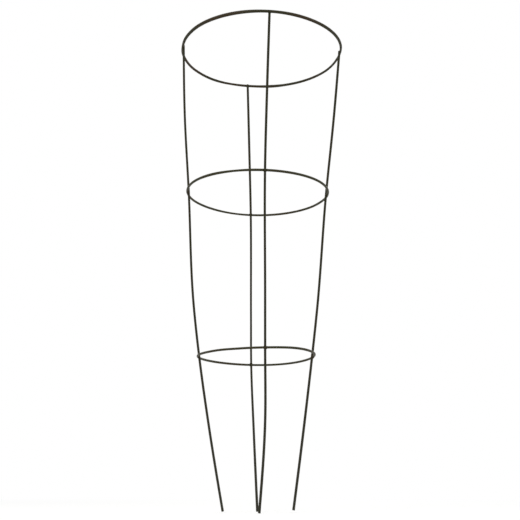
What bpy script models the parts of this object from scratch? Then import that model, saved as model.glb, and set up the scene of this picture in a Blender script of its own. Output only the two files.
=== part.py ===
"""A plant support welded from round steel wire.

Three round hoops, each smaller than the one above, are welded round the
outside of four legs. The legs come in a little from hoop to hoop and more
steeply under the lowest one, down to the ends that go into the ground.

Metres, +Z up. The four leg ends stand on Z = 0, and Z runs through the middle
of the top hoop. The front leg is on -Y and the right leg on +X. The frame is
bent by hand here and there, so the hoops and legs have a shift or lean each.
"""

import math
from dataclasses import dataclass

import bmesh
import bpy
from mathutils import Matrix, Vector

MODEL_NAME = "plant_support"

# The legs' wire, and how far it stands above the top hoop
LEG_WIRE_DIAMETER = 0.0041
LEG_OVERHANG = 0.0015

# The top hoop, of heavier wire; each width is over the wire, and each hoop is
# a little out of flat
TOP_HOOP_WIRE = 0.0052
TOP_HOOP_WIDTH = 0.3059
TOP_HOOP_HEIGHT = 0.8451
TOP_HOOP_WARP = 0.0006
TOP_HOOP_CREST = 45.0

# The middle hoop
MIDDLE_HOOP_WIRE = 0.0041
MIDDLE_HOOP_WIDTH = 0.2601
MIDDLE_HOOP_HEIGHT = 0.5607
MIDDLE_HOOP_SHIFT = -0.0063
MIDDLE_HOOP_LEAN = -0.4
MIDDLE_HOOP_WARP = 0.001
MIDDLE_HOOP_CREST = 0.0

# The lower hoop, which is out of round too
LOWER_HOOP_WIRE = 0.0041
LOWER_HOOP_WIDTH = 0.2066
LOWER_HOOP_HEIGHT = 0.262
LOWER_HOOP_SHIFT = -0.0079
LOWER_HOOP_LEAN = 0.8
LOWER_HOOP_OVAL = 0.008
LOWER_HOOP_WARP = 0.0014
LOWER_HOOP_CREST = 147.0

# Where the legs end
FOOT_REACH = 0.059
FOOT_SHIFT = -0.0038

# The bends of the legs: the share of the way down from one hoop to what is
# under it, how far out of the straight, and how far the middle lies along X
SHOULDER_PLACE = 0.457
SHOULDER_BOW = 0.002
SHOULDER_SHIFT = -0.0032
BELLY_PLACE = 0.705
BELLY_BOW = 0.0028
BELLY_SHIFT = -0.0089
KNEE_PLACE = 0.466
KNEE_BOW = 0.0012
KNEE_SHIFT = -0.0069

# A weld: how far it sinks hoop and leg into each other, and its rim of flash
SET_DOWN = 0.0018
WELD_GAP = 0.0003
FLASH_MARGIN = 0.0015
FLASH_THICKNESS = 0.006

# How finely the round shapes are cut
HOOP_STEPS = 80
WIRE_SIDES = 12
LEG_STEP = 0.022
FLASH_STEPS = 16
FLASH_RINGS = 8
SEAM_DISTANCE = 0.000001
SHARP_ANGLE = 40.0
FLOOR_CUTTER_SIZE = 0.4

# The paint
PAINT_COLOR = (0.034, 0.031, 0.020)
PAINT_ROUGHNESS = 0.42
PAINT_METALLIC = 0.0


@dataclass(frozen=True)
class Level:
    """Where the legs' wires pass one height: how far out, and how high."""

    reach: float
    height: float


@dataclass(frozen=True)
class Hoop:
    """One wire hoop: its wire, its width over the wire, and where it sits.

    shift is how far its middle lies along X, and lean is in degrees, with the
    +X side up. oval is how much deeper it is along Y than wide along X. warp is
    how far two opposite sides rise while the sides between them fall, and crest
    is the bearing of a side that rises.
    """

    wire: float
    width: float
    height: float
    shift: float = 0.0
    lean: float = 0.0
    oval: float = 0.0
    warp: float = 0.0
    crest: float = 0.0

    @property
    def radius(self):
        """From the middle of the hoop to the middle of its wire, along X."""
        return (self.width - self.wire) / 2

    @property
    def weld_pitch(self):
        """From the middle of its wire to the middle of a leg's, at a weld."""
        return (self.wire + LEG_WIRE_DIAMETER) / 2 - SET_DOWN

    @property
    def level(self):
        """Where the legs pass it."""
        return Level(self.radius - self.weld_pitch, self.height)

    def frame(self):
        """The matrix that places the hoop's plane."""
        place = Matrix.Translation((self.shift, 0.0, self.height))
        return place @ Matrix.Rotation(-math.radians(self.lean), 4, "Y")

    def point(self, bearing, inside=0.0):
        """The point at this bearing, so far inside the middle of the wire."""
        angle = math.radians(bearing)
        across = (self.radius - inside) * math.cos(angle)
        deep = (self.radius + self.oval / 2 - inside) * math.sin(angle)
        rise = self.warp * math.cos(2 * (angle - math.radians(self.crest)))
        return self.frame() @ Vector((across, deep, rise))

    def path(self):
        """The middle of its wire, once round."""
        return [self.point(360.0 * step / HOOP_STEPS) for step in range(HOOP_STEPS)]

    def outward(self, bearing):
        """The direction out from the middle of the hoop at this bearing."""
        angle = math.radians(bearing)
        flat = Vector((math.cos(angle), math.sin(angle), 0.0))
        return self.frame().to_3x3() @ flat


@dataclass(frozen=True)
class Bend:
    """A bend that all the legs have, between one level and the next.

    place is the share of the way down, bow is how far the wire stands out from
    a straight line between the levels, and shift is along X.
    """

    place: float
    bow: float
    shift: float

    def point(self, bearing, above, below):
        """The middle of the wire at this bend, for a leg at this bearing."""
        reach = above.reach + (below.reach - above.reach) * self.place + self.bow
        height = above.height + (below.height - above.height) * self.place
        return standing_point(bearing, reach, self.shift, height)


@dataclass(frozen=True)
class Leg:
    """One leg: the side it stands on, and how far it strays from there.

    bearing is in degrees from +X, anticlockwise from above. The others are in
    degrees too, and add to it at the hoops and at the bends between them.
    """

    bearing: float
    at_top: float
    at_middle: float
    at_belly: float
    at_lower: float
    at_knee: float
    at_foot: float


HOOPS = {
    "top": Hoop(
        TOP_HOOP_WIRE,
        TOP_HOOP_WIDTH,
        TOP_HOOP_HEIGHT,
        warp=TOP_HOOP_WARP,
        crest=TOP_HOOP_CREST,
    ),
    "middle": Hoop(
        MIDDLE_HOOP_WIRE,
        MIDDLE_HOOP_WIDTH,
        MIDDLE_HOOP_HEIGHT,
        MIDDLE_HOOP_SHIFT,
        MIDDLE_HOOP_LEAN,
        warp=MIDDLE_HOOP_WARP,
        crest=MIDDLE_HOOP_CREST,
    ),
    "lower": Hoop(
        LOWER_HOOP_WIRE,
        LOWER_HOOP_WIDTH,
        LOWER_HOOP_HEIGHT,
        LOWER_HOOP_SHIFT,
        LOWER_HOOP_LEAN,
        LOWER_HOOP_OVAL,
        LOWER_HOOP_WARP,
        LOWER_HOOP_CREST,
    ),
}

SHOULDER = Bend(SHOULDER_PLACE, SHOULDER_BOW, SHOULDER_SHIFT)
BELLY = Bend(BELLY_PLACE, BELLY_BOW, BELLY_SHIFT)
KNEE = Bend(KNEE_PLACE, KNEE_BOW, KNEE_SHIFT)
GROUND = Level(FOOT_REACH, 0.0)

LEGS = {
    "front": Leg(270.0, -0.5, -0.2, 2.2, 2.3, 3.7, -4.7),
    "right": Leg(0.0, -6.0, -2.0, 0.0, 2.0, 1.0, 0.0),
    "back": Leg(90.0, 5.0, 0.3, -0.9, -0.5, -2.0, -5.0),
    "left": Leg(180.0, 1.5, -3.0, -3.0, -3.0, -1.0, 0.0),
}


def clear_scene():
    for obj in list(bpy.data.objects):
        bpy.data.objects.remove(obj, do_unlink=True)


def new_collection(name, helper=False):
    collection = bpy.data.collections.new(name)
    bpy.context.scene.collection.children.link(collection)
    collection.hide_render = helper
    return collection


def move_to(obj, collection):
    for old in list(obj.users_collection):
        old.objects.unlink(obj)
    collection.objects.link(obj)


def paint(name):
    """Dark olive-black paint, baked on, for one piece of the frame."""
    material = bpy.data.materials.new(name + "_paint")
    material.use_nodes = True
    shader = material.node_tree.nodes["Principled BSDF"]
    shader.inputs["Base Color"].default_value = (*PAINT_COLOR, 1.0)
    shader.inputs["Roughness"].default_value = PAINT_ROUGHNESS
    shader.inputs["Metallic"].default_value = PAINT_METALLIC
    material.diffuse_color = (*PAINT_COLOR, 1.0)
    return material


def finish(obj, collection):
    """Paints a piece, shades it smooth but for its cut edges, and files it."""
    obj.data.materials.clear()
    obj.data.materials.append(paint(obj.name))
    obj.data.shade_smooth()
    obj.data.set_sharp_from_angle(angle=math.radians(SHARP_ANGLE))
    move_to(obj, collection)


def make_cutter(obj, collection):
    obj.display_type = "WIRE"
    obj.hide_render = True
    move_to(obj, collection)


def cut(obj, cutter):
    modifier = obj.modifiers.new("cut_" + cutter.name, "BOOLEAN")
    modifier.operation = "DIFFERENCE"
    modifier.solver = "EXACT"
    modifier.object = cutter


def weld_seams(mesh):
    """Joins the caps of a wire to its side."""
    shell = bmesh.new()
    shell.from_mesh(mesh)
    bmesh.ops.remove_doubles(shell, verts=shell.verts, dist=SEAM_DISTANCE)
    bmesh.ops.recalc_face_normals(shell, faces=shell.faces)
    shell.to_mesh(mesh)
    shell.free()


def round_wire(name, path, diameter, ring=False):
    """A round wire along these points, either a ring or with square-cut ends."""
    curve = bpy.data.curves.new(name, "CURVE")
    curve.dimensions = "3D"
    curve.bevel_depth = diameter / 2
    curve.bevel_resolution = WIRE_SIDES // 2 - 2
    curve.use_fill_caps = not ring
    spline = curve.splines.new("POLY")
    spline.use_cyclic_u = ring
    spline.points.add(len(path) - 1)
    for point, place in zip(spline.points, path):
        point.co = (*place, 1.0)
    guide = bpy.data.objects.new(name + "_guide", curve)
    bpy.context.scene.collection.objects.link(guide)
    graph = bpy.context.evaluated_depsgraph_get()
    mesh = bpy.data.meshes.new_from_object(guide.evaluated_get(graph))
    bpy.data.objects.remove(guide, do_unlink=True)
    mesh.name = name
    weld_seams(mesh)
    obj = bpy.data.objects.new(name, mesh)
    bpy.context.scene.collection.objects.link(obj)
    return obj


def build_hoop(name, hoop, collections):
    """Builds a hoop, and returns the cutter that clears it."""
    parts, cutters = collections
    finish(round_wire(name, hoop.path(), hoop.wire, ring=True), parts)
    clear_of_wire = hoop.wire + 2 * WELD_GAP
    cutter = round_wire(name + "_clearance", hoop.path(), clear_of_wire, ring=True)
    make_cutter(cutter, cutters)
    return cutter


def standing_point(bearing, reach, shift, height):
    """The point this far out at this bearing, from a middle shifted along X."""
    angle = math.radians(bearing)
    return Vector((shift + reach * math.cos(angle), reach * math.sin(angle), height))


def weld_point(hoop, bearing):
    """The middle of a leg's wire where it is welded to this hoop."""
    return hoop.point(bearing, hoop.weld_pitch)


def leg_stations(leg):
    """The points that a leg's wire passes through, from the top hoop down."""
    top, middle, lower = HOOPS.values()
    spot = leg.bearing
    at_shoulder = (leg.at_top + leg.at_middle) / 2
    return [
        weld_point(top, spot + leg.at_top),
        SHOULDER.point(spot + at_shoulder, top.level, middle.level),
        weld_point(middle, spot + leg.at_middle),
        BELLY.point(spot + leg.at_belly, middle.level, lower.level),
        weld_point(lower, spot + leg.at_lower),
        KNEE.point(spot + leg.at_knee, lower.level, GROUND),
        standing_point(spot + leg.at_foot, GROUND.reach, FOOT_SHIFT, GROUND.height),
    ]


def slopes_at(stations):
    """How far the wire moves sideways per metre down, at each station."""
    drops = [high.z - low.z for high, low in zip(stations, stations[1:])]
    steps = [
        (low - high) / drop for high, low, drop in zip(stations, stations[1:], drops)
    ]
    inner = [
        (steps[i] * drops[i + 1] + steps[i + 1] * drops[i]) / (drops[i] + drops[i + 1])
        for i in range(len(steps) - 1)
    ]
    first = (3 * steps[0] - inner[0]) / 2
    last = (3 * steps[-1] - inner[-1]) / 2
    return [first, *inner, last]


def springy_path(stations):
    """Points along a wire that bends smoothly through its stations."""
    slopes = slopes_at(stations)
    path = []
    for i, (high, low) in enumerate(zip(stations, stations[1:])):
        drop = high.z - low.z
        count = max(2, round(drop / LEG_STEP))
        for k in range(count):
            t = k / count
            path.append(
                high * (1 + 2 * t) * (1 - t) ** 2
                + slopes[i] * drop * t * (1 - t) ** 2
                + low * t * t * (3 - 2 * t)
                + slopes[i + 1] * drop * t * t * (t - 1)
            )
    path.append(stations[-1])
    return path


def leg_path(leg, beyond=0.0):
    """A leg's wire from so far beyond its top end to below the ground."""
    path = springy_path(leg_stations(leg))
    upward = (path[0] - path[1]).normalized()
    downward = (path[-1] - path[-2]).normalized()
    path.insert(0, path[0] + upward * (TOP_HOOP_WIRE / 2 + LEG_OVERHANG + beyond))
    path.append(path[-1] + downward * LEG_WIRE_DIAMETER)
    return path


def build_leg(name, leg, seats, collections):
    """Builds a leg, seated into each hoop, and returns the cutter that clears it."""
    parts, cutters = collections
    obj = round_wire(name, leg_path(leg), LEG_WIRE_DIAMETER)
    for seat in seats:
        cut(obj, seat)
    finish(obj, parts)
    clear_of_wire = LEG_WIRE_DIAMETER + 2 * WELD_GAP
    cutter = round_wire(name + "_clearance", leg_path(leg, FLASH_MARGIN), clear_of_wire)
    make_cutter(cutter, cutters)
    return cutter


def build_floor_cutter(cutters):
    """A block under Z = 0, which trims the leg ends level."""
    half = FLOOR_CUTTER_SIZE / 2
    bpy.ops.mesh.primitive_cube_add(size=FLOOR_CUTTER_SIZE, location=(0.0, 0.0, -half))
    floor = bpy.context.object
    floor.name = "floor_clearance"
    make_cutter(floor, cutters)
    return floor


def build_flash(name, hoop, bearing, clearances, collection):
    """The rim of metal squeezed out round the weld of a hoop and a leg."""
    bpy.ops.mesh.primitive_uv_sphere_add(
        segments=FLASH_STEPS, ring_count=FLASH_RINGS, radius=1.0
    )
    obj = bpy.context.object
    obj.name = name
    obj.data.name = name
    reach = max(hoop.wire, LEG_WIRE_DIAMETER) / 2 + FLASH_MARGIN
    obj.data.transform(Matrix.Diagonal((reach, reach, FLASH_THICKNESS / 2, 1.0)))
    obj.location = hoop.point(bearing, hoop.weld_pitch / 2)
    obj.rotation_euler = hoop.outward(bearing).to_track_quat("Z", "Y").to_euler()
    for clearance in clearances:
        cut(obj, clearance)
    finish(obj, collection)


def main():
    clear_scene()
    parts = new_collection(MODEL_NAME)
    cutters = new_collection(MODEL_NAME + "_cutters", helper=True)
    collections = (parts, cutters)
    floor = build_floor_cutter(cutters)
    round_hoop = {
        name: build_hoop("hoop_" + name, hoop, collections) for name, hoop in HOOPS.items()
    }
    seats = [*round_hoop.values(), floor]
    for name, leg in LEGS.items():
        round_leg = build_leg("leg_" + name, leg, seats, collections)
        strays = {"top": leg.at_top, "middle": leg.at_middle, "lower": leg.at_lower}
        for level, stray in strays.items():
            build_flash(
                f"weld_{level}_{name}",
                HOOPS[level],
                leg.bearing + stray,
                (round_hoop[level], round_leg),
                parts,
            )


main()
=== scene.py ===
"""A welded wire plant support, dressed for a plain studio picture."""

import logging
import math
from dataclasses import dataclass, field
from enum import Enum
from typing import Any, Iterable, Optional

import bmesh
import bpy
from mathutils import Matrix, Vector, noise


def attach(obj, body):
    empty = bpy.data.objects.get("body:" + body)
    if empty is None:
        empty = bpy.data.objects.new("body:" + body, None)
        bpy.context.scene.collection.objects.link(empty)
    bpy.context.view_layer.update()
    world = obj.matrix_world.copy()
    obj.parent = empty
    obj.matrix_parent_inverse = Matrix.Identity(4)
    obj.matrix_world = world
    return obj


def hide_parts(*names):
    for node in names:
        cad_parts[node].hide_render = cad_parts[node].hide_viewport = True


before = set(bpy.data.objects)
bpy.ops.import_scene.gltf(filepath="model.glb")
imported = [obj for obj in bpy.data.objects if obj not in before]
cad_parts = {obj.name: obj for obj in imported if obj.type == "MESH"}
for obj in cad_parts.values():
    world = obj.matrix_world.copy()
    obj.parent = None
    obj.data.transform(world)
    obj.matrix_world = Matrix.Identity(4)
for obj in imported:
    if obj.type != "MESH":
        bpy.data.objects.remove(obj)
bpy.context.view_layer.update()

LOG = logging.getLogger("plant_support")
BODY = "root"
MM = 0.001
# The attribute that holds, in metres, how far along its wire a point lies and where across
LENGTHWAYS = "lengthways"


class Level(Enum):
    """The hoops, from the top down."""

    TOP = "top"
    MIDDLE = "middle"
    LOWER = "lower"


class Side(Enum):
    """The legs, by the side that they stand on."""

    FRONT = "front"
    RIGHT = "right"
    BACK = "back"
    LEFT = "left"


class Slot(Enum):
    """The record's material slots."""

    HOOP = "hoop_wire"
    LEG = "leg_wire"
    WELD = "weld_metal"


def linear(colour: str) -> tuple[float, float, float, float]:
    """Turns an sRGB hex colour to linear.

    Args:
        colour: six hex digits after a hash sign.

    Returns:
        Red, green, blue and an alpha of 1.
    """
    parts = [int(colour[i : i + 2], 16) / 255 for i in (1, 3, 5)]
    red, green, blue = (
        p / 12.92 if p <= 0.04045 else ((p + 0.055) / 1.055) ** 2.4 for p in parts
    )
    return red, green, blue, 1.0


def add(
    tree: bpy.types.NodeTree,
    kind: str,
    settings: Optional[dict[str, Any]] = None,
    links: Optional[dict[Any, Any]] = None,
) -> bpy.types.Node:
    """Adds a node, with its settings and what goes into its sockets.

    Args:
        tree: the tree that it goes in.
        kind: the node's type name.
        settings: values of the node's own properties.
        links: for a socket's name or number, an output to link or a value.

    Returns:
        The node.
    """
    node = tree.nodes.new(kind)
    for name, value in (settings or {}).items():
        setattr(node, name, value)
    for name, value in (links or {}).items():
        if isinstance(value, bpy.types.NodeSocket):
            tree.links.new(value, node.inputs[name])
        else:
            node.inputs[name].default_value = value
    return node


def per_metre(size_mm: float) -> float:
    """Returns the texture scale that gives features of this size in millimetres."""
    return 1.0 / (size_mm * MM)


@dataclass(frozen=True)
class BakedEnamel:
    """Dark olive stoving enamel on drawn steel wire, dipped and baked.

    The film is thin and follows the round of the wire, with a satin sheen and a
    faint orange peel. It clouds a little from one stretch to the next, and warms
    to brown where it lies thin over the steel's own skin. Die lines of the drawn
    wire show through it lengthways, and nesting the frames for transport rubs
    scuffs through it, where the brown of the skin shows and the sheen is lost.
    Towards the feet it is painted lighter and greyer: painted light, for the light that the
    lower legs lack.
    """

    name: str
    film: str = "#1E1E0B"
    thin_film: str = "#262610"
    warm_film: str = "#2A200E"
    wire_skin: str = "#3A2B1E"
    roughness_low: float = 0.42
    roughness_high: float = 0.58
    rubbed_roughness: float = 0.22
    sheen_level: float = 0.14
    cloud_mm: float = 38.0
    warm_cloud_mm: float = 120.0
    warm_from_to: tuple[float, float] = (0.42, 0.62)
    warm_share: float = 0.45
    # Painted light: the lighter grey that the film turns to towards the feet, below this
    # height, by this share
    painted_light_film: str = "#302F24"
    painted_light_below_mm: float = 500.0
    painted_light_share: float = 0.0
    peel_mm: float = 1.3
    peel_from_to: tuple[float, float] = (0.3, 0.7)
    peel_height_mm: float = 0.03
    # Real die lines are under 0.1 mm apart; these are coarser, so that they show
    die_line_mm: tuple[float, float] = (45.0, 0.45)
    die_line_depth_mm: float = 0.02
    scuff_mm: tuple[float, float] = (5.0, 1.4)
    scuff_from: float = 0.65
    scuff_edge: float = 0.06
    scuff_share: float = 0.75
    film_mm: float = 0.04
    bump_strength: float = 0.8
    on_drawn_wire: bool = True

    def _pattern(
        self, tree: bpy.types.NodeTree, place: Any, size_mm: tuple[float, float], detail: float
    ) -> Any:
        """Makes a noise that is longer along the wire than round it.

        Args:
            tree: the material's tree.
            place: metres along the wire and across it, or object coordinates.
            size_mm: how long and how wide its features are.
            detail: how many finer octaves it has.

        Returns:
            The output that gives the noise, from 0 to 1.
        """
        along, across = (per_metre(size) for size in size_mm)
        fitted = add(tree, "ShaderNodeMapping", links={
            "Vector": place, "Scale": (along, across, across)})
        grain = add(tree, "ShaderNodeTexNoise", links={
            "Vector": fitted.outputs["Vector"], "Scale": 1.0, "Detail": detail,
            "Roughness": 0.6})
        return grain.outputs["Fac"]

    def _colour(self, tree: bpy.types.NodeTree, place: Any, rubbed: Any) -> Any:
        """Clouds the film, warms it, paints it lighter low down as painted light, and rubs
        scuffs through it.

        Args:
            tree: the material's tree.
            place: the output that gives the object coordinates.
            rubbed: how much the film is rubbed through.

        Returns:
            The output that gives the colour.
        """
        cloud = add(tree, "ShaderNodeTexNoise", links={
            "Vector": place, "Scale": per_metre(self.cloud_mm), "Detail": 3.0})
        film = add(tree, "ShaderNodeMix", {"data_type": "RGBA"}, {
            0: cloud.outputs["Fac"], 6: linear(self.film), 7: linear(self.thin_film)})
        drift = add(tree, "ShaderNodeTexNoise", links={
            "Vector": place, "Scale": per_metre(self.warm_cloud_mm), "Detail": 2.0})
        low, high = self.warm_from_to
        warmth = add(tree, "ShaderNodeMapRange", {"interpolation_type": "SMOOTHSTEP"}, {
            "Value": drift.outputs["Fac"], "From Min": low, "From Max": high,
            "To Max": self.warm_share})
        warmed = add(tree, "ShaderNodeMix", {"data_type": "RGBA"}, {
            0: warmth.outputs["Result"], 6: film.outputs[2], 7: linear(self.warm_film)})
        # Painted light: lighter and greyer towards the feet, for the light that the lower legs
        # lack
        height = add(tree, "ShaderNodeSeparateXYZ", links={0: place}).outputs["Z"]
        painted_light_mask = add(tree, "ShaderNodeMapRange", {"interpolation_type": "SMOOTHSTEP"}, {
            "Value": height, "From Min": self.painted_light_below_mm * MM, "From Max": 0.0,
            "To Max": self.painted_light_share})
        painted_light = add(tree, "ShaderNodeMix", {"data_type": "RGBA"}, {
            0: painted_light_mask.outputs["Result"], 6: warmed.outputs[2], 7: linear(self.painted_light_film)})
        worn = add(tree, "ShaderNodeMix", {"data_type": "RGBA"}, {
            0: rubbed, 6: painted_light.outputs[2], 7: linear(self.wire_skin)})
        return worn.outputs[2]

    def _surface(
        self, tree: bpy.types.NodeTree, place: Any, lengthways: Any, rubbed: Any
    ) -> tuple[Any, Any]:
        """Gives the film its roughness, its orange peel and its die lines.

        Args:
            tree: the material's tree.
            place: the output that gives the object coordinates.
            lengthways: metres along the wire and across it.
            rubbed: how much the film is rubbed through.

        Returns:
            The roughness and the normal.
        """
        peel = add(tree, "ShaderNodeTexNoise", links={
            "Vector": place, "Scale": per_metre(self.peel_mm), "Detail": 2.0})
        low, high = self.peel_from_to
        grain = add(tree, "ShaderNodeMapRange", links={
            "Value": peel.outputs["Fac"], "From Min": low, "From Max": high,
            "To Min": self.roughness_low, "To Max": self.roughness_high})
        rough = add(tree, "ShaderNodeMath", {"operation": "MULTIPLY_ADD"}, {
            0: rubbed, 1: self.rubbed_roughness, 2: grain.outputs["Result"]})
        skin = add(tree, "ShaderNodeMath", {"operation": "MULTIPLY"}, {
            0: rubbed, 1: -self.film_mm * MM})
        height = add(tree, "ShaderNodeMath", {"operation": "MULTIPLY_ADD"}, {
            0: peel.outputs["Fac"], 1: self.peel_height_mm * MM, 2: skin.outputs[0]})
        if self.on_drawn_wire:
            lines = self._pattern(tree, lengthways, self.die_line_mm, 1.0)
            height = add(tree, "ShaderNodeMath", {"operation": "MULTIPLY_ADD"}, {
                0: lines, 1: self.die_line_depth_mm * MM, 2: height.outputs[0]})
        bump = add(tree, "ShaderNodeBump", links={
            "Strength": self.bump_strength, "Distance": 1.0,
            "Height": height.outputs[0]})
        return rough.outputs["Value"], bump.outputs["Normal"]

    def material(self) -> bpy.types.Material:
        """Builds the material.

        Returns:
            The finished material.
        """
        made = bpy.data.materials.new(self.name)
        made.use_nodes = True
        tree = made.node_tree
        shader = tree.nodes["Principled BSDF"]
        place = add(tree, "ShaderNodeTexCoord").outputs["Object"]
        lengthways = place
        if self.on_drawn_wire:
            lengthways = add(tree, "ShaderNodeAttribute", {
                "attribute_type": "GEOMETRY", "attribute_name": LENGTHWAYS}).outputs["Vector"]
        rubbed = add(tree, "ShaderNodeMapRange", {"interpolation_type": "SMOOTHSTEP"}, {
            "Value": self._pattern(tree, lengthways, self.scuff_mm, 4.0),
            "From Min": self.scuff_from, "From Max": self.scuff_from + self.scuff_edge,
            "To Max": self.scuff_share}).outputs["Result"]
        rough, normal = self._surface(tree, place, lengthways, rubbed)
        tree.links.new(self._colour(tree, place, rubbed), shader.inputs["Base Color"])
        tree.links.new(rough, shader.inputs["Roughness"])
        tree.links.new(normal, shader.inputs["Normal"])
        shader.inputs["Metallic"].default_value = 0.0
        shader.inputs["Specular IOR Level"].default_value = self.sheen_level
        made.diffuse_color = linear(self.film)
        return made


@dataclass(frozen=True)
class Bulge:
    """A smooth rise over one stretch of a hoop, or a dip where height is negative.

    middle and reach are degrees round the hoop.
    """

    middle: float
    reach: float
    height: float

    def height_at(self, bearing: float) -> float:
        """Finds how high the stretch rises.

        Args:
            bearing: degrees round the hoop.

        Returns:
            The height there.
        """
        off = (bearing - self.middle + 180.0) % 360.0 - 180.0
        if abs(off) >= self.reach:
            return 0.0
        return self.height * (0.5 + 0.5 * math.cos(math.pi * off / self.reach))


@dataclass(frozen=True)
class Coat:
    """How much the dipped coat adds to a wire, and how it gathers along it.

    more is its share of the wire's width. waves are gains and losses of that round
    a hoop, in one wave, in two, in three and so on: each has its height, and the
    bearing of a crest. A leg counts from 0 at the ground to 360 at its top. bulges
    are gains and losses over one stretch, as where the weld has pinched the wire.
    """

    more: float = 0.0
    waves: tuple[tuple[float, float], ...] = ()
    bulges: tuple[Bulge, ...] = ()

    def girth(self, bearing: float) -> float:
        """Finds how wide the coated wire is.

        Args:
            bearing: degrees round the hoop, or up the leg.

        Returns:
            The width, as a share of the wire's.
        """
        gathered = sum(
            height * math.cos(count * math.radians(bearing - crest))
            for count, (height, crest) in enumerate(self.waves, start=1)
        )
        pinched = sum(bulge.height_at(bearing) for bulge in self.bulges)
        return 1.0 + self.more + gathered + pinched


class WireTree:
    """The node tree that sweeps a wire's section along its path."""

    SIZES = ("Diameter", "Ripple", "Ripple Scale")
    FACETS = 24
    RIPPLE = 0.06 * MM
    RIPPLE_MM = 11.0

    def __init__(self) -> None:
        """Builds the tree and its named inputs."""
        self.group = bpy.data.node_groups.new("drawn_wire", "GeometryNodeTree")
        face = self.group.interface
        face.new_socket("Path", in_out="INPUT", socket_type="NodeSocketGeometry")
        for name in self.SIZES:
            face.new_socket(name, in_out="INPUT", socket_type="NodeSocketFloat")
        face.new_socket("Facets", in_out="INPUT", socket_type="NodeSocketInt")
        face.new_socket("Enamel", in_out="INPUT", socket_type="NodeSocketMaterial")
        face.new_socket("Wire", in_out="OUTPUT", socket_type="NodeSocketGeometry")
        self._fill()

    def _section(self, given: bpy.types.Node) -> bpy.types.Node:
        """Draws the wire's round section, which keeps where across each point lies.

        Args:
            given: the node of the tree's inputs.

        Returns:
            The node that gives the section.
        """
        tree = self.group
        radius = add(tree, "ShaderNodeMath", {"operation": "MULTIPLY"}, {
            0: given.outputs["Diameter"], 1: 0.5})
        circle = add(tree, "GeometryNodeCurvePrimitiveCircle", links={
            "Resolution": given.outputs["Facets"], "Radius": radius.outputs[0]})
        return add(tree, "GeometryNodeStoreNamedAttribute", {"data_type": "FLOAT_VECTOR"}, {
            "Geometry": circle.outputs["Curve"], "Name": "rim",
            "Value": add(tree, "GeometryNodeInputPosition").outputs[0]})

    def _lengthways(self, wire: Any) -> Any:
        """Stores how far along the wire, and where across it, each point lies.

        Args:
            wire: the output that gives the swept wire.

        Returns:
            The output that gives the same wire with that stored.
        """
        tree = self.group
        along = add(tree, "GeometryNodeInputNamedAttribute", {"data_type": "FLOAT"}, {
            "Name": "along"})
        rim = add(tree, "GeometryNodeInputNamedAttribute", {"data_type": "FLOAT_VECTOR"}, {
            "Name": "rim"})
        across = add(tree, "ShaderNodeSeparateXYZ", links={0: rim.outputs["Attribute"]})
        joined = add(tree, "ShaderNodeCombineXYZ", links={
            "X": along.outputs["Attribute"], "Y": across.outputs["X"],
            "Z": across.outputs["Y"]})
        stored = add(tree, "GeometryNodeStoreNamedAttribute", {"data_type": "FLOAT_VECTOR"}, {
            "Geometry": wire, "Name": LENGTHWAYS, "Value": joined.outputs[0]})
        return stored.outputs[0]

    def _fill(self) -> None:
        """Adds the nodes between the inputs and the finished wire."""
        tree = self.group
        given = add(tree, "NodeGroupInput")
        curve = add(tree, "GeometryNodeMeshToCurve", links={"Mesh": given.outputs["Path"]})
        measured = add(tree, "GeometryNodeStoreNamedAttribute", {"data_type": "FLOAT"}, {
            "Geometry": curve.outputs["Curve"], "Name": "along",
            "Value": add(tree, "GeometryNodeSplineParameter").outputs["Length"]})
        upright = add(tree, "GeometryNodeSetCurveNormal", {"mode": "Z_UP"}, {
            "Curve": measured.outputs[0]})
        girth = add(tree, "GeometryNodeInputNamedAttribute", {"data_type": "FLOAT"}, {
            "Name": "girth"})
        section = self._section(given)
        swept = add(tree, "GeometryNodeCurveToMesh", links={
            "Curve": upright.outputs["Curve"], "Profile Curve": section.outputs[0],
            "Scale": girth.outputs["Attribute"], "Fill Caps": True})
        smooth = add(tree, "GeometryNodeSetShadeSmooth", links={
            "Geometry": self._lengthways(swept.outputs["Mesh"])})
        waves = add(tree, "ShaderNodeTexNoise", links={
            "Scale": given.outputs["Ripple Scale"], "Detail": 1.0})
        lift = add(tree, "ShaderNodeMath", {"operation": "SUBTRACT"}, {
            0: waves.outputs["Fac"], 1: 0.5})
        height = add(tree, "ShaderNodeMath", {"operation": "MULTIPLY"}, {
            0: lift.outputs[0], 1: given.outputs["Ripple"]})
        outward = add(tree, "GeometryNodeInputNormal")
        offset = add(tree, "ShaderNodeVectorMath", {"operation": "SCALE"}, {
            0: outward.outputs["Normal"], "Scale": height.outputs[0]})
        rippled = add(tree, "GeometryNodeSetPosition", links={
            "Geometry": smooth.outputs[0], "Offset": offset.outputs[0]})
        for spent in ("girth", "along", "rim"):
            rippled = add(tree, "GeometryNodeRemoveAttribute", links={
                "Geometry": rippled.outputs[0], "Name": spent})
        real = add(tree, "GeometryNodeRealizeInstances", links={
            "Geometry": rippled.outputs[0]})
        painted = add(tree, "GeometryNodeSetMaterial", links={
            "Geometry": real.outputs[0], "Material": given.outputs["Enamel"]})
        add(tree, "NodeGroupOutput", links={"Wire": painted.outputs[0]})

    def _identifier(self, name: str) -> str:
        """Finds what a modifier calls one of the tree's inputs.

        Args:
            name: the input's name.

        Returns:
            Its identifier.
        """
        for item in self.group.interface.items_tree:
            if item.name == name and item.in_out == "INPUT":
                return item.identifier
        raise KeyError(name)

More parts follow.
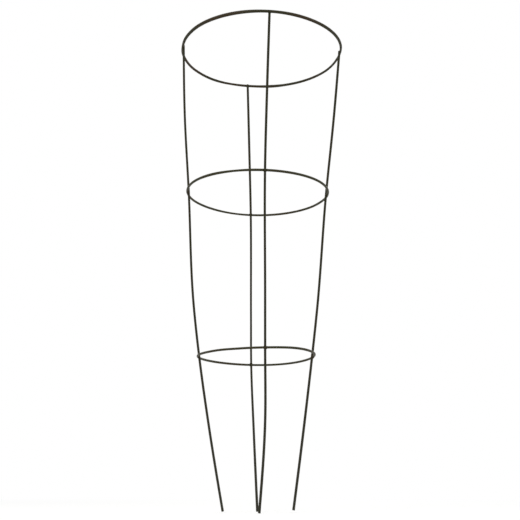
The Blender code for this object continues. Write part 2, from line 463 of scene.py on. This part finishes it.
    def sweep(
        self,
        name: str,
        path: list[Vector],
        diameter: float,
        enamel: bpy.types.Material,
        girths: list[float],
        ring: bool = False,
    ) -> bpy.types.Mesh:
        """Makes the mesh of a wire along a path.

        Args:
            name: what to call the mesh.
            path: the points of its middle.
            diameter: how thick it is.
            enamel: its finish.
            girths: how thick it is at each point, as a share of its diameter.
            ring: whether its ends meet.

        Returns:
            The mesh, with the finish on it.
        """
        line = bpy.data.meshes.new(name)
        edges = [(i, i + 1) for i in range(len(path) - 1)]
        if ring:
            edges.append((len(path) - 1, 0))
        line.from_pydata([tuple(p) for p in path], edges, [])
        share = line.attributes.new("girth", "FLOAT", "POINT")
        share.data.foreach_set("value", girths)
        holder = in_scene(name + "_path", line)
        modifier = holder.modifiers.new("drawn wire", "NODES")
        modifier.node_group = self.group
        values = {
            "Diameter": diameter,
            "Ripple": self.RIPPLE,
            "Ripple Scale": per_metre(self.RIPPLE_MM),
            "Facets": self.FACETS,
            "Enamel": enamel,
        }
        for title, value in values.items():
            modifier[self._identifier(title)] = value
        return bake(holder, name)


def in_scene(name: str, data: bpy.types.ID) -> bpy.types.Object:
    """Makes an object and puts it in the scene.

    Args:
        name: what to call it.
        data: its mesh, lamp or camera.

    Returns:
        The object.
    """
    made = bpy.data.objects.new(name, data)
    bpy.context.scene.collection.objects.link(made)
    return made


def bake(holder: bpy.types.Object, name: str) -> bpy.types.Mesh:
    """Turns an object with live modifiers into a plain mesh, and removes it.

    Args:
        holder: the object.
        name: what to call the mesh.

    Returns:
        The mesh, in the shared frame.
    """
    graph = bpy.context.evaluated_depsgraph_get()
    mesh = bpy.data.meshes.new_from_object(holder.evaluated_get(graph))
    bpy.data.objects.remove(holder, do_unlink=True)
    mesh.name = name
    return mesh


def place_piece(name: str, mesh: bpy.types.Mesh, node: str, slot: Slot) -> bpy.types.Object:
    """Puts a finished mesh in the scene in the place of a CAD node.

    Args:
        name: the piece's name.
        mesh: its mesh, in the shared frame.
        node: the CAD node that it stands for.
        slot: its material slot; not used.

    Returns:
        The piece's object.
    """
    piece = in_scene(name, mesh)
    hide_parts(node)
    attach(piece, BODY)
    return piece


@dataclass(frozen=True)
class WireHoop:
    """One hoop: its wire's diameter, its width over the wire, and how it sits.

    It lies shift along X and leans about Y by lean degrees. It is deeper than it is
    wide by oval, and out of flat by warp, most at the bearing crest. bulges lie
    outside its round, and lifts above its plane. seam is the bearing at which its
    wire starts and ends, under a weld, and flash_margin is how far the rims of its
    welds stand out of the wire.
    """

    level: Level
    wire: float
    width: float
    height: float
    shift: float = 0.0
    lean: float = 0.0
    oval: float = 0.0
    warp: float = 0.0
    crest: float = 0.0
    bulges: tuple[Bulge, ...] = ()
    lifts: tuple[Bulge, ...] = ()
    coat: Coat = Coat()
    seam: float = 0.0
    flash_margin: float = 1.5 * MM

    STEPS = 288

    @property
    def radius(self) -> float:
        """From the middle of the hoop to the middle of its wire, along X."""
        return (self.width - self.wire) / 2

    def even_pitch(self, leg: "WireLeg") -> float:
        """From the middle of its wire to a leg's, at a weld of even depth."""
        return (self.wire + leg.wire) / 2 - leg.set_down

    def pitch(self, leg: "WireLeg") -> float:
        """From the middle of its wire to a leg's, at the weld that it has."""
        return self.even_pitch(leg) - (leg.pressed if self.level is Level.TOP else 0.0)

    def frame(self) -> Matrix:
        """Returns the matrix that places the hoop's plane."""
        place = Matrix.Translation((self.shift, 0.0, self.height))
        return place @ Matrix.Rotation(-math.radians(self.lean), 4, "Y")

    def point(self, bearing: float, inside: float = 0.0) -> Vector:
        """Finds a point by its bearing.

        Args:
            bearing: degrees from +X, anticlockwise from above.
            inside: how far inside the middle of the wire.

        Returns:
            The point, in the shared frame.
        """
        angle = math.radians(bearing)
        inside -= sum(bulge.height_at(bearing) for bulge in self.bulges)
        across = (self.radius - inside) * math.cos(angle)
        deep = (self.radius + self.oval / 2 - inside) * math.sin(angle)
        rise = self.warp * math.cos(2 * (angle - math.radians(self.crest)))
        rise += sum(lift.height_at(bearing) for lift in self.lifts)
        return self.frame() @ Vector((across, deep, rise))

    def outward(self, bearing: float) -> Vector:
        """Finds the way out of the hoop.

        Args:
            bearing: degrees round the hoop.

        Returns:
            The direction, in the shared frame.
        """
        angle = math.radians(bearing)
        flat = Vector((math.cos(angle), math.sin(angle), 0.0))
        return self.frame().to_3x3() @ flat

    def build(self, tree: WireTree, enamel: bpy.types.Material) -> bpy.types.Object:
        """Builds the hoop and dresses it.

        Args:
            tree: what sweeps the wire.
            enamel: its finish.

        Returns:
            The hoop's object.
        """
        name = f"{self.level.value}_hoop_wire"
        bearings = [self.seam + 360.0 * (i + 0.5) / self.STEPS for i in range(self.STEPS)]
        path = [self.point(bearing) for bearing in bearings]
        girths = [self.coat.girth(bearing) for bearing in bearings]
        mesh = tree.sweep(name, path, self.wire, enamel, girths, ring=True)
        return place_piece(name, mesh, f"hoop_{self.level.value}", Slot.HOOP)


@dataclass(frozen=True)
class Bend:
    """A bend of the legs: its share of the way down, its bow, and its shift."""

    place: float
    bow: float
    shift: float


@dataclass(frozen=True)
class WireLeg:
    """One leg: its side, its bearing, and how many degrees it strays at hoops and bends.

    It sinks into each hoop by set_down, and into the top hoop by pressed more. It
    stands out of the top hoop by overhang, and ends short of the ground by short.
    """

    side: Side
    bearing: float
    at_top: float
    at_shoulder: float
    at_middle: float
    at_belly: float
    at_lower: float
    at_knee: float
    at_foot: float

    wire: float = 4.1 * MM
    set_down: float = 1.8 * MM
    pressed: float = 0.0
    overhang: float = 1.5 * MM
    foot_reach: float = 0.059
    foot_shift: float = -0.0041
    shoulder: Bend = Bend(place=0.457, bow=0.002, shift=-0.0032)
    belly: Bend = Bend(place=0.705, bow=0.0028, shift=-0.0089)
    knee: Bend = Bend(place=0.466, bow=0.0012, shift=-0.0069)
    step: float = 0.004
    short: float = 0.0
    coat: Coat = Coat()

    # Millimetres back from a sheared end, and the wire's girth there
    SHEARED = ((0.0, 0.80), (0.05, 0.88), (0.14, 0.95), (0.30, 0.99), (0.55, 1.0))
    CLEAR_OF_END = 0.5 * MM
    # The height at which the waves of its coat come round
    WHOLE = 0.849

    def girth_at(self, height: float) -> float:
        """Returns how wide the coated wire is at a height, as a share of the wire's."""
        return self.coat.girth(360.0 * height / self.WHOLE)

    def stray(self, level: Level) -> float:
        """Finds where the leg crosses a hoop.

        Args:
            level: the hoop's level.

        Returns:
            The bearing of the weld.
        """
        strays = {
            Level.TOP: self.at_top,
            Level.MIDDLE: self.at_middle,
            Level.LOWER: self.at_lower,
        }
        return self.bearing + strays[level]

    @staticmethod
    def _standing(bearing: float, reach: float, shift: float, height: float) -> Vector:
        """Returns the point this far out at a bearing, from a shifted middle."""
        angle = math.radians(bearing)
        return Vector((shift + reach * math.cos(angle), reach * math.sin(angle), height))

    def _bent(
        self, bend: Bend, stray: float, above: tuple[float, float], below: tuple[float, float]
    ) -> Vector:
        """Finds the middle of the wire at a bend.

        Args:
            bend: the bend.
            stray: what the leg's bearing gains there.
            above: reach and height of the level above.
            below: reach and height of the level below.

        Returns:
            The point, in the shared frame.
        """
        reach = above[0] + (below[0] - above[0]) * bend.place + bend.bow
        height = above[1] + (below[1] - above[1]) * bend.place
        return self._standing(self.bearing + stray, reach, bend.shift, height)

    def stations(self, hoops: dict[Level, WireHoop]) -> list[Vector]:
        """Finds the points that the wire passes through, from the top down.

        Args:
            hoops: the hoops that it is welded to.

        Returns:
            The stations, in the shared frame.
        """
        weld = {
            level: hoop.point(self.stray(level), hoop.pitch(self))
            for level, hoop in hoops.items()
        }
        at = {
            level: (hoop.radius - hoop.even_pitch(self), hoop.height)
            for level, hoop in hoops.items()
        }
        ground = (self.foot_reach, 0.0)
        return [
            weld[Level.TOP],
            self._bent(self.shoulder, self.at_shoulder, at[Level.TOP], at[Level.MIDDLE]),
            weld[Level.MIDDLE],
            self._bent(self.belly, self.at_belly, at[Level.MIDDLE], at[Level.LOWER]),
            weld[Level.LOWER],
            self._bent(self.knee, self.at_knee, at[Level.LOWER], ground),
            self._standing(
                self.bearing + self.at_foot, self.foot_reach, self.foot_shift, 0.0
            ),
        ]

    @staticmethod
    def _slopes(stations: list[Vector]) -> list[Vector]:
        """Finds how far the wire moves per metre down.

        Args:
            stations: the points that it passes through.

        Returns:
            The move at each station.
        """
        pairs = list(zip(stations, stations[1:]))
        drops = [high.z - low.z for high, low in pairs]
        steps = [(low - high) / drop for (high, low), drop in zip(pairs, drops)]
        inner = [
            (steps[i] * drops[i + 1] + steps[i + 1] * drops[i]) / (drops[i] + drops[i + 1])
            for i in range(len(steps) - 1)
        ]
        return [(3 * steps[0] - inner[0]) / 2, *inner, (3 * steps[-1] - inner[-1]) / 2]

    def path(self, hoops: dict[Level, WireHoop]) -> list[Vector]:
        """Bends the wire smoothly through its stations.

        Args:
            hoops: the hoops that it is welded to.

        Returns:
            Points along its middle, from the top weld to the ground.
        """
        stations = self.stations(hoops)
        slopes = self._slopes(stations)
        points = []
        for i, (high, low) in enumerate(zip(stations, stations[1:])):
            drop = high.z - low.z
            count = max(2, round(drop / self.step))
            for k in range(count):
                t = k / count
                points.append(
                    high * (1 + 2 * t) * (1 - t) ** 2
                    + slopes[i] * drop * t * (1 - t) ** 2
                    + low * t * t * (3 - 2 * t)
                    + slopes[i + 1] * drop * t * t * (t - 1)
                )
        points.append(stations[-1])
        return points

    def _sheared_ends(
        self, points: list[Vector], rise: float
    ) -> tuple[list[Vector], list[float]]:
        """Adds the ends, each with the small round that shearing leaves.

        Args:
            points: the wire from the top weld to the ground.
            rise: how far it goes on above the top weld.

        Returns:
            The whole path, and the girth at each of its points.
        """
        up = (points[0] - points[1]).normalized()
        down = (points[-1] - points[-2]).normalized()
        tilt = math.hypot(down.x, down.y) * self.wire / 2
        foot = points[-1] - down * ((tilt + self.short) / -down.z)
        tip = points[0] + up * rise
        top = [(tip - up * (back * MM), girth) for back, girth in self.SHEARED]
        bottom = [
            (foot - down * (back * MM), girth) for back, girth in reversed(self.SHEARED)
        ]
        lowest = bottom[0][0].z
        body = [(p, 1.0) for p in points if p.z > lowest + self.CLEAR_OF_END]
        joined = [*top, *body, *bottom]
        return [p for p, _ in joined], [g * self.girth_at(p.z) for p, g in joined]

    def build(
        self, hoops: dict[Level, WireHoop], tree: WireTree, enamel: bpy.types.Material
    ) -> bpy.types.Object:
        """Builds the leg and dresses it.

        Args:
            hoops: the hoops that it is welded to.
            tree: what sweeps the wire.
            enamel: its finish.

        Returns:
            The leg's object.
        """
        name = f"{self.side.value}_leg_wire"
        rise = hoops[Level.TOP].wire / 2 + self.overhang
        path, girths = self._sheared_ends(self.path(hoops), rise)
        mesh = tree.sweep(name, path, self.wire, enamel, girths)
        return place_piece(name, mesh, f"leg_{self.side.value}", Slot.LEG)


@dataclass(frozen=True)
class CrossWeld:
    """A resistance weld of a hoop and a leg, with its rim of flash.

    Current and pressure sink the wires into each other and squeeze out a ragged
    lip; the enamel then draws into the corner and rounds it. Both wires are drawn
    again for stub to each side, dipping under at their ends and swelling between,
    and are fused with the lip.
    """

    hoop: WireHoop
    leg: WireLeg

    stub: float = 5.0 * MM
    top_gap: float = 0.7 * MM
    half_points: int = 6
    dip: float = 0.95
    swell: float = 1.035
    swell_slope: float = 2.2
    flash_thickness: float = 6.0 * MM
    ragged: float = 0.16
    lip_facets: tuple[int, int] = (40, 20)
    lip_wave: float = 1.9
    lip_fray: float = 5.0
    fray_share: float = 0.5
    voxel: float = 0.24 * MM
    settle: int = 7
    settle_share: float = 0.5
    skin: float = 0.16 * MM
    skin_mm: float = 1.8

    # Keeps the fray's noise apart from the wave's
    APART = Vector((0.0, 0.0, 7.0))

    @property
    def name(self) -> str:
        """The piece's name."""
        return f"{self.hoop.level.value}_{self.leg.side.value}_weld_bead"

    def _tapered(self, count: int, girth: float) -> list[float]:
        """Makes girths that swell in the middle and dip under at both ends.

        Args:
            count: how many points the stub has.
            girth: the coated wire's own girth.

        Returns:
            The girth at each point.
        """
        shares = []
        for i in range(count):
            from_end = min(i, count - 1 - i) / (count - 1) * 2
            share = self.dip + (self.swell - self.dip) * min(1.0, from_end * self.swell_slope)
            shares.append(share * girth)
        return shares

    def _steps(self) -> list[float]:
        """Returns even steps across the weld, from -1 to 1."""
        return [i / self.half_points - 1 for i in range(2 * self.half_points + 1)]

    def _hoop_stub(self, bearing: float) -> list[Vector]:
        """Returns the hoop's path across the weld."""
        reach = math.degrees(self.stub / self.hoop.radius)
        return [self.hoop.point(bearing + reach * step) for step in self._steps()]

    def _leg_stub(self, middle: Vector, hoops: dict[Level, WireHoop]) -> list[Vector]:
        """Finds the leg's path across the weld.

        Args:
            middle: the middle of the leg's wire at the weld.
            hoops: all the hoops.

        Returns:
            The path's points, from below up.
        """
        points = self.leg.path(hoops)
        nearest = min(range(len(points)), key=lambda i: (points[i] - middle).length)
        below = points[min(nearest + 1, len(points) - 1)]
        above = points[max(nearest - 1, 0)]
        along = (above - below).normalized()
        lift = self.stub
        if self.hoop.level is Level.TOP:
            lift = self.hoop.wire / 2 + self.leg.overhang - self.top_gap
        return [
            middle + along * (lift if step > 0 else self.stub) * step for step in self._steps()
        ]

    def _flash(self, bearing: float, seed: float) -> bmesh.types.BMesh:
        """Makes the ragged lip of squeezed metal, as a flattened ball.

        Args:
            bearing: where the weld is on its hoop.
            seed: what makes its lip its own.

        Returns:
            The lip, in the shared frame.
        """
        hoop_wire = self.hoop.wire * self.hoop.coat.girth(bearing)
        reach = max(hoop_wire, self.leg.wire) / 2 + self.hoop.flash_margin
        around, over = self.lip_facets
        shell = bmesh.new()
        bmesh.ops.create_uvsphere(shell, u_segments=around, v_segments=over, radius=1.0)
        for vert in shell.verts:
            flat = Vector((vert.co.x, vert.co.y, seed))
            ripple = noise.noise(flat * self.lip_wave)
            fray = noise.noise((flat + self.APART) * self.lip_fray)
            grow = 1.0 + self.ragged * (ripple + self.fray_share * fray)
            vert.co = Vector((
                vert.co.x * reach * grow,
                vert.co.y * reach * grow,
                vert.co.z * self.flash_thickness / 2,
            ))
        pitch = self.hoop.pitch(self.leg)
        turn = self.hoop.outward(bearing).to_track_quat("Z", "Y").to_matrix().to_4x4()
        place = Matrix.Translation(self.hoop.point(bearing, pitch / 2))
        shell.transform(place @ turn)
        return shell

    def _roughen(self, mesh: bpy.types.Mesh, seed: float) -> None:
        """Gives the melt its uneven skin, so that it ends raggedly on the wires.

        Args:
            mesh: the fused weld.
            seed: what makes its skin its own.
        """
        shift = Vector((seed, 0.0, 0.0))
        scale = per_metre(self.skin_mm)
        lifts = [
            vert.normal * self.skin * noise.noise(vert.co * scale + shift)
            for vert in mesh.vertices
        ]
        for vert, lift in zip(mesh.vertices, lifts):
            vert.co += lift

    def build(
        self,
        hoops: dict[Level, WireHoop],
        tree: WireTree,
        enamel: bpy.types.Material,
        seed: float,
    ) -> bpy.types.Object:
        """Builds the weld and dresses it.

        Args:
            hoops: all the hoops.
            tree: what sweeps the wires.
            enamel: its finish.
            seed: what makes its lip its own.

        Returns:
            The weld's object.
        """
        bearing = self.leg.stray(self.hoop.level)
        middle = self.hoop.point(bearing, self.hoop.pitch(self.leg))
        stubs = [
            tree.sweep(self.name, path, wire, enamel, self._tapered(len(path), girth))
            for path, wire, girth in (
                (self._hoop_stub(bearing), self.hoop.wire, self.hoop.coat.girth(bearing)),
                (self._leg_stub(middle, hoops), self.leg.wire, self.leg.girth_at(middle.z)),
            )
        ]
        blank = self._flash(bearing, seed)
        for mesh in stubs:
            blank.from_mesh(mesh)
        joined = bpy.data.meshes.new(self.name)
        blank.to_mesh(joined)
        blank.free()
        holder = in_scene(self.name + "_blank", joined)
        fuse = holder.modifiers.new("fuse", "REMESH")
        fuse.mode = "VOXEL"
        fuse.voxel_size = self.voxel
        fuse.use_smooth_shade = True
        settle = holder.modifiers.new("settle", "SMOOTH")
        settle.factor = self.settle_share
        settle.iterations = self.settle
        mesh = bake(holder, self.name)
        self._roughen(mesh, seed)
        mesh.materials.clear()
        mesh.materials.append(enamel)
        node = f"weld_{self.hoop.level.value}_{self.leg.side.value}"
        return place_piece(self.name, mesh, node, Slot.WELD)


@dataclass
class PlantSupport:
    """The whole frame: three hoops, four legs and their twelve welds."""

    hoops: dict[Level, WireHoop] = field(default_factory=dict)
    legs: dict[Side, WireLeg] = field(default_factory=dict)

    SEED_PER_HOOP = 3.1
    SEED_PER_LEG = 0.7

    def __post_init__(self) -> None:
        """Fills in the hoops and legs."""
        fine = 4.1 * MM
        heavy = 5.2 * MM
        hoops = [
            WireHoop(
                Level.TOP, heavy, width=0.3059, height=0.8451, warp=0.0006, crest=45.0,
                bulges=(
                    Bulge(318.0, 24.0, 0.6 * MM), Bulge(338.0, 26.0, 1.3 * MM),
                    Bulge(0.0, 16.0, -0.6 * MM), Bulge(12.0, 18.0, -1.0 * MM),
                    Bulge(50.0, 20.0, 0.4 * MM), Bulge(92.0, 26.0, -1.7 * MM),
                    Bulge(123.0, 20.0, 1.1 * MM), Bulge(163.0, 18.0, -0.6 * MM),
                    Bulge(184.0, 14.0, -0.9 * MM), Bulge(200.0, 18.0, -0.6 * MM),
                    # Keeps the skin of the front weld inside the CAD model's box
                    Bulge(270.0, 14.0, -0.06 * MM),
                ),
                lifts=(Bulge(266.0, 45.0, 0.43 * MM),),
                coat=Coat(
                    0.0,
                    ((0.12, 247.0), (0.05, 79.0), (0.03, 88.0), (0.03, 51.0)),
                    (
                        Bulge(268.0, 22.0, -0.12), Bulge(354.0, 14.0, -0.1),
                        Bulge(76.0, 12.0, 0.15), Bulge(109.0, 14.0, -0.1),
                        Bulge(181.0, 14.0, -0.1),
                    ),
                ),
                seam=-7.0, flash_margin=0.5 * MM,
            ),
            WireHoop(
                Level.MIDDLE, fine, width=0.2601, height=0.5607,
                shift=-0.0063, lean=-0.4, warp=0.001, crest=0.0,
                bulges=(
                    Bulge(18.0, 16.0, -0.6 * MM), Bulge(130.0, 34.0, -1.2 * MM),
                    Bulge(246.0, 20.0, -0.5 * MM),
                ),
                coat=Coat(
                    0.05,
                    ((0.03, 270.0),),
                    (
                        Bulge(105.0, 26.0, -0.12), Bulge(224.0, 16.0, 0.08),
                        Bulge(248.0, 14.0, -0.14),
                    ),
                ),
                seam=-2.0,
            ),
            WireHoop(
                Level.LOWER, fine, width=0.2066, height=0.262,
                shift=-0.0079, lean=0.8, oval=0.008, warp=0.0014, crest=147.0,
                bulges=(Bulge(210.0, 70.0, 1.0 * MM),),
                lifts=(Bulge(304.0, 30.0, 0.5 * MM), Bulge(228.0, 20.0, 0.4 * MM)),
                coat=Coat(-0.02, ((0.0, 0.0), (0.05, 150.0))), seam=2.0,
            ),
        ]
        legs = [
            WireLeg(
                Side.FRONT, 270.0, at_top=-0.5, at_shoulder=-0.5, at_middle=-0.2,
                at_belly=2.2, at_lower=2.3, at_knee=3.7, at_foot=-4.3,
                coat=Coat(0.035, ((0.058, 340.0),)), overhang=0.0,
            ),
            WireLeg(
                Side.RIGHT, 0.0, at_top=-7.0, at_shoulder=-4.5, at_middle=-2.0,
                at_belly=0.0, at_lower=2.0, at_knee=1.0, at_foot=0.0,
                coat=Coat(0.086, ((0.039, 357.0),)), pressed=1.0 * MM,
                overhang=-1.0 * MM, short=3.2 * MM,
            ),
            WireLeg(
                Side.BACK, 90.0, at_top=5.0, at_shoulder=2.65, at_middle=0.3,
                at_belly=-0.9, at_lower=-0.5, at_knee=-2.0, at_foot=-4.5,
                coat=Coat(0.055, ((0.1, 322.0),)), overhang=-1.2 * MM,
            ),
            WireLeg(
                Side.LEFT, 180.0, at_top=1.5, at_shoulder=-0.75, at_middle=-3.0,
                at_belly=-3.0, at_lower=-3.0, at_knee=-1.0, at_foot=0.0,
                coat=Coat(0.021, ((0.023, 34.0),)), pressed=1.0 * MM, short=1.2 * MM,
            ),
        ]
        self.hoops = {hoop.level: hoop for hoop in hoops}
        self.legs = {leg.side: leg for leg in legs}

    def build(self) -> Iterable[bpy.types.Object]:
        """Builds and dresses every piece.

        Yields:
            Each piece's object.
        """
        tree = WireTree()
        # Painted light: the hoops' enamels are lighter, browner copies of the legs' one, for
        # the bright floor that the hoops' undersides reflect while the legs face the room
        on_legs = BakedEnamel("baked_enamel_on_legs", painted_light_share=0.9).material()
        on_hoops = BakedEnamel(
            "baked_enamel_on_hoops",
            film="#2B2A15",
            thin_film="#35341C",
            warm_film="#3A2C1A",
            warm_share=0.35,
            sheen_level=0.17,
        ).material()
        on_top_hoop = BakedEnamel(
            "baked_enamel_on_top_hoop",
            film="#282612",
            thin_film="#2F2D19",
            warm_film="#3B2A1A",
            warm_share=0.65,
            sheen_level=0.17,
        ).material()
        pooled = BakedEnamel(
            "baked_enamel_pooled_on_welds",
            film="#232210",
            thin_film="#2B2A16",
            warm_film="#342618",
            roughness_low=0.34,
            roughness_high=0.52,
            peel_mm=0.9,
            scuff_mm=(1.6, 1.6),
            scuff_from=0.62,
            on_drawn_wire=False,
        ).material()
        for level, hoop in self.hoops.items():
            yield hoop.build(tree, on_top_hoop if level is Level.TOP else on_hoops)
        for leg in self.legs.values():
            yield leg.build(self.hoops, tree, on_legs)
        for i, hoop in enumerate(self.hoops.values()):
            for k, leg in enumerate(self.legs.values()):
                seed = self.SEED_PER_HOOP * i + self.SEED_PER_LEG * k
                yield CrossWeld(hoop, leg).build(self.hoops, tree, pooled, seed)


@dataclass(frozen=True)
class Lamp:
    """A square soft box: where it hangs, how wide it is, and how strong."""

    name: str
    place: tuple[float, float, float]
    width: float
    watts: float

    def build(self, target: Vector) -> bpy.types.Object:
        """Hangs the lamp, facing a point.

        Args:
            target: the point.

        Returns:
            The lamp's object.
        """
        light = bpy.data.lights.new(self.name, "AREA")
        light.shape = "SQUARE"
        light.size = self.width
        light.energy = self.watts
        lamp = in_scene(self.name, light)
        lamp.location = self.place
        away = Vector(self.place) - target
        lamp.rotation_euler = away.to_track_quat("Z", "Y").to_euler()
        return lamp


@dataclass(frozen=True)
class Studio:
    """A pale floor, soft light, and the camera of the photograph."""

    floor_radius: float = 9.0
    floor_segments: int = 128
    floor_drop: float = 0.1 * MM
    floor_colour: str = "#E9E9E8"
    floor_lift: float = 0.30
    floor_fades: tuple[float, float] = (0.9, 2.6)
    sky_level: float = 0.55
    camera_place: tuple[float, float, float] = (-0.1638, -1.5413, 0.035)
    camera_tilt: float = 104.5
    camera_turn: float = -6.0
    camera_roll: float = 0.1
    focal_length: float = 61.82
    sensor_width: float = 36.0
    clip: tuple[float, float] = (0.01, 100.0)
    lamps_face: tuple[float, float, float] = (0.0, 0.0, 0.42)
    lamps: tuple[Lamp, ...] = (
        Lamp("key_soft_box", (-1.6, -2.0, 2.2), 1.6, 34.0),
        Lamp("fill_soft_box", (2.2, -1.4, 1.5), 1.8, 16.0),
        Lamp("back_soft_box", (0.6, 2.4, 2.2), 1.6, 16.0),
    )

    @staticmethod
    def _seen(tree: bpy.types.NodeTree) -> Any:
        """Tells rays that show the surface from rays that carry light.

        Args:
            tree: the tree of a material or of the world.

        Returns:
            An output: 1 for a ray from the camera, or by way of a gloss or a glass.
        """
        path = add(tree, "ShaderNodeLightPath")
        gloss = add(tree, "ShaderNodeMath", {"operation": "ADD"}, {
            0: path.outputs["Is Camera Ray"], 1: path.outputs["Is Glossy Ray"]})
        glass = add(tree, "ShaderNodeMath", {"operation": "ADD", "use_clamp": True}, {
            0: gloss.outputs[0], 1: path.outputs["Is Transmission Ray"]})
        return glass.outputs[0]

    def _floor(self) -> None:
        """Lays a matt white floor, which keeps the shadow of the object."""
        shell = bmesh.new()
        bmesh.ops.create_circle(
            shell, cap_ends=True, radius=self.floor_radius, segments=self.floor_segments
        )
        bmesh.ops.translate(shell, verts=shell.verts, vec=(0.0, 0.0, -self.floor_drop))
        mesh = bpy.data.meshes.new("floor")
        shell.to_mesh(mesh)
        shell.free()
        paper = bpy.data.materials.new("matt_white_paper")
        paper.use_nodes = True
        tree = paper.node_tree
        tree.nodes.clear()
        matt = add(tree, "ShaderNodeBsdfDiffuse", links={"Color": linear(self.floor_colour)})
        place = add(tree, "ShaderNodeTexCoord").outputs["Object"]
        away = add(tree, "ShaderNodeVectorMath", {"operation": "LENGTH"}, {0: place})
        seen = self._seen(tree)
        strength = add(tree, "ShaderNodeMath", {"operation": "MULTIPLY"}, {
            0: seen, 1: self.floor_lift})
        glow = add(tree, "ShaderNodeEmission", links={"Strength": strength.outputs[0]})
        near = add(tree, "ShaderNodeAddShader", links={0: matt.outputs[0], 1: glow.outputs[0]})
        far = add(tree, "ShaderNodeEmission", links={"Strength": 1.0})
        fade = add(tree, "ShaderNodeMapRange", links={
            "Value": away.outputs["Value"], "From Min": self.floor_fades[0],
            "From Max": self.floor_fades[1]})
        share = add(tree, "ShaderNodeMath", {"operation": "MULTIPLY"}, {
            0: seen, 1: fade.outputs["Result"]})
        both = add(tree, "ShaderNodeMixShader", links={
            0: share.outputs[0], 1: near.outputs[0], 2: far.outputs[0]})
        add(tree, "ShaderNodeOutputMaterial", links={"Surface": both.outputs[0]})
        mesh.materials.append(paper)
        in_scene("floor", mesh)

    def _sky(self) -> None:
        """Lights the room evenly, with a white backdrop where it is seen."""
        world = bpy.data.worlds.new("studio")
        bpy.context.scene.world = world
        world.use_nodes = True
        tree = world.node_tree
        tree.nodes.clear()
        level = add(tree, "ShaderNodeMix", {"data_type": "FLOAT"}, {
            0: self._seen(tree), 2: self.sky_level, 3: 1.0})
        white = add(tree, "ShaderNodeBackground", links={
            "Color": (1.0, 1.0, 1.0, 1.0), "Strength": level.outputs[0]})
        add(tree, "ShaderNodeOutputWorld", links={"Surface": white.outputs[0]})

    def _camera(self) -> None:
        """Sets up the camera where the photograph was taken from."""
        camera = bpy.data.cameras.new("camera")
        camera.lens = self.focal_length
        camera.sensor_width = self.sensor_width
        camera.clip_start, camera.clip_end = self.clip
        holder = in_scene("camera", camera)
        facing = (
            Matrix.Rotation(math.radians(self.camera_turn), 4, "Z")
            @ Matrix.Rotation(math.radians(self.camera_tilt), 4, "X")
            @ Matrix.Rotation(math.radians(self.camera_roll), 4, "Z")
        )
        holder.matrix_world = Matrix.Translation(self.camera_place) @ facing
        bpy.context.scene.camera = holder

    def build(self) -> None:
        """Builds the floor, the light and the camera."""
        self._floor()
        self._sky()
        for lamp in self.lamps:
            lamp.build(Vector(self.lamps_face))
        self._camera()
        bpy.context.scene.view_settings.view_transform = "Standard"


def main() -> None:
    """Builds the support and the studio, and reports each piece."""
    logging.basicConfig(level=logging.INFO, format="%(message)s")
    for piece in PlantSupport().build():
        sizes = " x ".join(f"{side / MM:.1f}" for side in piece.dimensions)
        LOG.info("%s: %s mm, %d faces", piece.name, sizes, len(piece.data.polygons))
    Studio().build()


if __name__ == "__main__":
    main()
